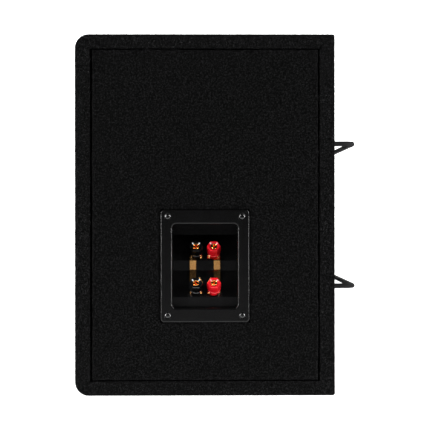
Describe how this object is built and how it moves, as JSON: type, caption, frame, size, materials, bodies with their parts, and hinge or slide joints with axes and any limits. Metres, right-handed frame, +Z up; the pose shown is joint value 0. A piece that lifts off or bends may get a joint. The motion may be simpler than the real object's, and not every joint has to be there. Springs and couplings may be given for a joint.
{
  "type": "carpeted loudspeaker cabinet",
  "caption": "Carpet-covered loudspeaker box with one woofer behind two guard rods and a recessed cup of binding posts joined by gold links in its end.",
  "frame": {"origin": "centre of the cabinet's carpeted underside", "axes": "+Z up; -Y out of the woofer; the terminal cup is in the -X end"},
  "size_m": [0.3968, 0.3061, 0.381],
  "materials": {
    "board": "matt fibreboard",
    "carpet": "needle-punched charcoal carpet",
    "black_plastic": "satin moulded",
    "black_cap_plastic": "gloss",
    "red_cap_plastic": "gloss",
    "gold": "gold plated, polished",
    "zinc_steel": "zinc plated",
    "black_steel": "satin black powder coat",
    "gasket_foam": "closed-cell foam",
    "ferrite": "sintered ferrite",
    "cone_paper": "coated paper pulp, satin",
    "surround_foam": "matt foam rubber",
    "spider_cloth": "impregnated cotton",
    "copper": "enamelled copper wire",
    "former_film": "amber polyimide",
    "board_phenolic": "phenolic laminate",
    "black_insulation": "PVC",
    "red_insulation": "PVC",
    "clear_sleeve": "nylon sleeve"
  },
  "bodies": {
    "cabinet": {"top_panel": "board", "bottom_panel": "board", "back_panel": "board", "front_baffle": "board", "left_end_panel": "board", "right_end_panel": "board", "carpet_wrap": "carpet", "carpet_left_end": "carpet", "carpet_right_end": "carpet", "terminal_cup": "black_plastic", "terminal_gasket": "gasket_foam", "terminal_screws": "black_steel", "black_post_bushes": "black_cap_plastic", "red_post_bushes": "red_cap_plastic", "rear_insulators": "black_plastic", "solder_lugs": "gold", "post_nuts": "zinc_steel", "woofer_gasket": "gasket_foam", "basket": "black_steel", "trim_ring": "gasket_foam", "front_plate": "zinc_steel", "magnet": "ferrite", "back_plate": "zinc_steel", "terminal_board": "board_phenolic", "woofer_blades": "gold", "lead_connectors": "clear_sleeve", "lower_black_lead": "black_insulation", "lower_red_lead": "red_insulation", "upper_black_lead": "black_insulation", "upper_red_lead": "red_insulation", "upper_guard_rod": "black_steel", "lower_guard_rod": "black_steel", "woofer_screws": "black_steel", "lower_black_post_stud": "gold", "lower_red_post_stud": "gold", "upper_black_post_stud": "gold", "upper_red_post_stud": "gold"},
    "lower_black_clamp": {"lower_black_clamp_washer": "gold"},
    "lower_black_cap": {"lower_black_post_cap": "black_cap_plastic", "lower_black_cap_insert": "gold"},
    "lower_red_clamp": {"lower_red_clamp_washer": "gold"},
    "lower_red_cap": {"lower_red_post_cap": "red_cap_plastic", "lower_red_cap_insert": "gold"},
    "upper_black_clamp": {"upper_black_clamp_washer": "gold"},
    "upper_black_cap": {"upper_black_post_cap": "black_cap_plastic", "upper_black_cap_insert": "gold"},
    "upper_red_clamp": {"upper_red_clamp_washer": "gold"},
    "upper_red_cap": {"upper_red_post_cap": "red_cap_plastic", "upper_red_cap_insert": "gold"},
    "black_jumper_link": {"black_jumper": "gold"},
    "red_jumper_link": {"red_jumper": "gold"},
    "moving_cone": {"cone": "cone_paper", "dust_cap": "cone_paper", "voice_coil_former": "former_film", "voice_coil_1": "copper", "voice_coil_2": "copper", "surround": "surround_foam", "spider": "spider_cloth", "tinsel_leads": "copper"}
  },
  "joints": [
    {"name": "lower_black_cap_rise", "type": "slide", "parent": "cabinet", "child": "lower_black_clamp", "axis": [-0.829, 0, 0.5592], "range_m": [0, 0.005]},
    {"name": "lower_black_cap_turn", "type": "hinge", "parent": "lower_black_clamp", "child": "lower_black_cap", "pos_m": [-0.18225, 0.00953, 0.11035], "axis": [-0.829, 0, 0.5592], "range_deg": [0, 2251]},
    {"name": "lower_red_cap_rise", "type": "slide", "parent": "cabinet", "child": "lower_red_clamp", "axis": [-0.829, 0, 0.5592], "range_m": [0, 0.005]},
    {"name": "lower_red_cap_turn", "type": "hinge", "parent": "lower_red_clamp", "child": "lower_red_cap", "pos_m": [-0.18225, -0.00953, 0.11035], "axis": [-0.829, 0, 0.5592], "range_deg": [0, 2251]},
    {"name": "upper_black_cap_rise", "type": "slide", "parent": "cabinet", "child": "upper_black_clamp", "axis": [-0.829, 0, 0.5592], "range_m": [0, 0.005]},
    {"name": "upper_black_cap_turn", "type": "hinge", "parent": "upper_black_clamp", "child": "upper_black_cap", "pos_m": [-0.1637, 0.00953, 0.14845], "axis": [-0.829, 0, 0.5592], "range_deg": [0, 2251]},
    {"name": "upper_red_cap_rise", "type": "slide", "parent": "cabinet", "child": "upper_red_clamp", "axis": [-0.829, 0, 0.5592], "range_m": [0, 0.005]},
    {"name": "upper_red_cap_turn", "type": "hinge", "parent": "upper_red_clamp", "child": "upper_red_cap", "pos_m": [-0.1637, -0.00953, 0.14845], "axis": [-0.829, 0, 0.5592], "range_deg": [0, 2251]},
    {"name": "black_jumper_slide", "type": "slide", "parent": "cabinet", "child": "black_jumper_link", "axis": [0, 1, 0], "range_m": [0, 0.014]},
    {"name": "red_jumper_slide", "type": "slide", "parent": "cabinet", "child": "red_jumper_link", "axis": [0, -1, 0], "range_m": [0, 0.014]},
    {"name": "cone_travel", "type": "slide", "parent": "cabinet", "child": "moving_cone", "axis": [0, -1, 0], "range_m": [-0.008, 0.008], "stiffness_N_per_m": 5300, "deforming": ["surround", "spider", "tinsel_leads"]}
  ],
  "couplings": [
    {"joint": "lower_black_cap_turn", "follows": "lower_black_cap_rise", "rad_per_m": 7854},
    {"joint": "lower_red_cap_turn", "follows": "lower_red_cap_rise", "rad_per_m": 7854},
    {"joint": "upper_black_cap_turn", "follows": "upper_black_cap_rise", "rad_per_m": 7854},
    {"joint": "upper_red_cap_turn", "follows": "upper_red_cap_rise", "rad_per_m": 7854}
  ]
}
